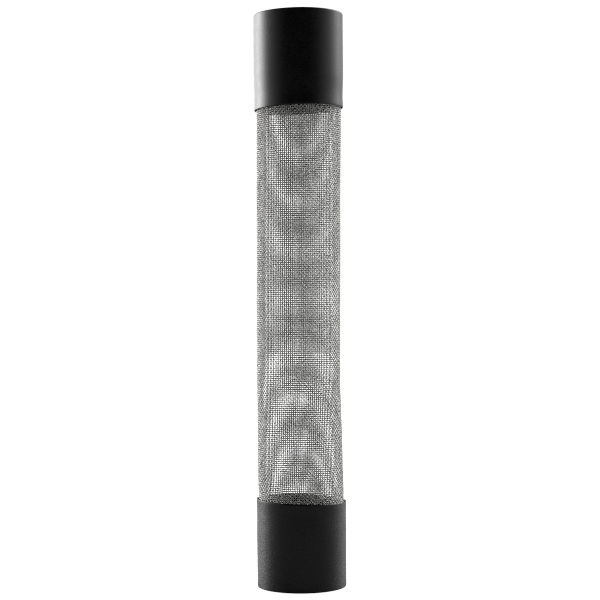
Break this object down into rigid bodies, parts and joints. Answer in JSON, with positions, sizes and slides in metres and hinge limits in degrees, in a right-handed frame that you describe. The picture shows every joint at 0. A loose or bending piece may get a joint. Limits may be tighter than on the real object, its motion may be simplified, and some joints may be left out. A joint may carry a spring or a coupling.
{
  "type": "capped wire mesh tube",
  "caption": "Straight tube of open woven steel wire cloth, closed at both ends by black push-on caps that pull off along its axis.",
  "frame": {"origin": "centre of the bottom cap's closed end, which the part stands on", "axes": "+Z along the tube from the bottom cap to the top cap; -Y towards the side that the picture shows; +X to that view's right"},
  "size_m": [0.0538, 0.0538, 0.343],
  "materials": {
    "black_vinyl": "satin",
    "steel_cloth": "satin"
  },
  "bodies": {
    "bottom_cap": {"bottom_cap": "black_vinyl"},
    "wire_tube": {"wire_cloth_tube": "steel_cloth"},
    "top_cap": {"top_cap": "black_vinyl"}
  },
  "joints": [
    {"name": "wire_tube_slide", "type": "slide", "parent": "bottom_cap", "child": "wire_tube", "axis": [0, 0, 1], "range_m": [0, 0.065]},
    {"name": "top_cap_slide", "type": "slide", "parent": "wire_tube", "child": "top_cap", "axis": [0, 0, 1], "range_m": [0, 0.07]}
  ]
}
